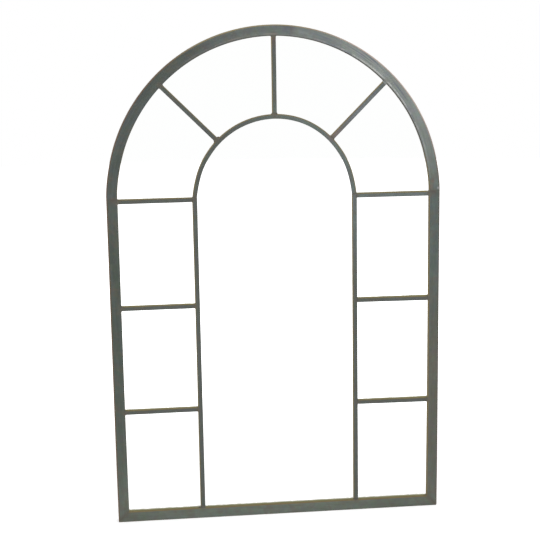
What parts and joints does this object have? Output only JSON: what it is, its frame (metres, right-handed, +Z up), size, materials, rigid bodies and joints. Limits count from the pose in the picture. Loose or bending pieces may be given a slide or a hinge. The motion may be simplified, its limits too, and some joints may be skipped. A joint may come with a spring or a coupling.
{
  "type": "arched window mirror",
  "caption": "Arched wall mirror in a welded steel window frame with slim glazing bars and a sunburst head, backed by a board under turn buttons and hung by rings on a cross strap.",
  "frame": {"origin": "centre of the underside, half-way through the frame's depth", "axes": "+Z up along the height, +Y back towards the wall, +X to the right of someone facing the mirror"},
  "size_m": [0.8, 0.025, 1.2],
  "materials": {
    "frame_steel": "dark grey-green patinated steel, satin, with rust-brown and tan wear along its edges",
    "bar_steel": "dark grey-green patinated steel bar, satin, worn brown along its edges",
    "mirror_glass": "clear silvered mirror glass",
    "backing_board": "plain brown hardboard, matt",
    "foam_tape": "black foam glazing tape",
    "rubber_block": "black rubber setting block",
    "back_steel": "dark grey-green patinated steel behind the face, rougher and dustier",
    "zinc_steel": "dull zinc-plated steel"
  },
  "bodies": {
    "frame": {"left_stile": "frame_steel", "right_stile": "frame_steel", "bottom_rail": "frame_steel", "arch_rail": "frame_steel", "left_upright": "bar_steel", "right_upright": "bar_steel", "inner_arch": "bar_steel", "sunburst_bar_left": "bar_steel", "sunburst_bar_centre": "bar_steel", "sunburst_bar_right": "bar_steel", "crossbar_left_top": "bar_steel", "crossbar_left_middle": "bar_steel", "crossbar_left_low": "bar_steel", "crossbar_right_top": "bar_steel", "crossbar_right_middle": "bar_steel", "crossbar_right_low": "bar_steel", "glazing_tape": "foam_tape", "mirror_glass": "mirror_glass", "backing_board": "backing_board", "setting_block_left": "rubber_block", "setting_block_right": "rubber_block", "clip_lug_bottom_left": "back_steel", "clip_lug_bottom_right": "back_steel", "clip_lug_left_low": "back_steel", "clip_lug_right_low": "back_steel", "clip_lug_left_high": "back_steel", "clip_lug_right_high": "back_steel", "clip_lug_arch_left": "back_steel", "clip_lug_arch_right": "back_steel", "clip_screw_bottom_left": "zinc_steel", "clip_screw_bottom_right": "zinc_steel", "clip_screw_left_low": "zinc_steel", "clip_screw_right_low": "zinc_steel", "clip_screw_left_high": "zinc_steel", "clip_screw_right_high": "zinc_steel", "clip_screw_arch_left": "zinc_steel", "clip_screw_arch_right": "zinc_steel", "cross_strap": "back_steel", "strap_lug_left": "back_steel", "strap_lug_right": "back_steel", "strap_screw_left": "zinc_steel", "strap_screw_right": "zinc_steel", "ring_strap_left": "zinc_steel", "ring_strap_right": "zinc_steel", "rivet_left_upper": "zinc_steel", "rivet_left_lower": "zinc_steel", "rivet_right_upper": "zinc_steel", "rivet_right_lower": "zinc_steel"},
    "turn_button_bottom_left": {"turn_button_bottom_left": "zinc_steel"},
    "turn_button_bottom_right": {"turn_button_bottom_right": "zinc_steel"},
    "turn_button_left_low": {"turn_button_left_low": "zinc_steel"},
    "turn_button_right_low": {"turn_button_right_low": "zinc_steel"},
    "turn_button_left_high": {"turn_button_left_high": "zinc_steel"},
    "turn_button_right_high": {"turn_button_right_high": "zinc_steel"},
    "turn_button_arch_left": {"turn_button_arch_left": "zinc_steel"},
    "turn_button_arch_right": {"turn_button_arch_right": "zinc_steel"},
    "hanging_ring_left": {"hanging_ring_left": "zinc_steel"},
    "hanging_ring_right": {"hanging_ring_right": "zinc_steel"}
  },
  "joints": [
    {"name": "turn_button_bottom_left_pivot", "type": "hinge", "parent": "frame", "child": "turn_button_bottom_left", "pos_m": [-0.15, 0, 0.0095], "axis": [0, 1, 0], "range_deg": [-90, 90]},
    {"name": "turn_button_bottom_right_pivot", "type": "hinge", "parent": "frame", "child": "turn_button_bottom_right", "pos_m": [0.15, 0, 0.0095], "axis": [0, 1, 0], "range_deg": [-90, 90]},
    {"name": "turn_button_left_low_pivot", "type": "hinge", "parent": "frame", "child": "turn_button_left_low", "pos_m": [-0.3905, 0, 0.24], "axis": [0, 1, 0], "range_deg": [-90, 90]},
    {"name": "turn_button_right_low_pivot", "type": "hinge", "parent": "frame", "child": "turn_button_right_low", "pos_m": [0.3905, 0, 0.24], "axis": [0, 1, 0], "range_deg": [-90, 90]},
    {"name": "turn_button_left_high_pivot", "type": "hinge", "parent": "frame", "child": "turn_button_left_high", "pos_m": [-0.3905, 0, 0.64], "axis": [0, 1, 0], "range_deg": [-90, 90]},
    {"name": "turn_button_right_high_pivot", "type": "hinge", "parent": "frame", "child": "turn_button_right_high", "pos_m": [0.3905, 0, 0.64], "axis": [0, 1, 0], "range_deg": [-90, 90]},
    {"name": "turn_button_arch_left_pivot", "type": "hinge", "parent": "frame", "child": "turn_button_arch_left", "pos_m": [-0.2238, 0, 1.11962], "axis": [0, 1, 0], "range_deg": [-90, 90]},
    {"name": "turn_button_arch_right_pivot", "type": "hinge", "parent": "frame", "child": "turn_button_arch_right", "pos_m": [0.2238, 0, 1.11962], "axis": [0, 1, 0], "range_deg": [-90, 90]},
    {"name": "hanging_ring_left_swing", "type": "hinge", "parent": "frame", "child": "hanging_ring_left", "pos_m": [-0.25, 0.0087, 0.763], "axis": [1, 0, 0], "range_deg": [0, 200]},
    {"name": "hanging_ring_right_swing", "type": "hinge", "parent": "frame", "child": "hanging_ring_right", "pos_m": [0.25, 0.0087, 0.763], "axis": [1, 0, 0], "range_deg": [0, 200]}
  ]
}
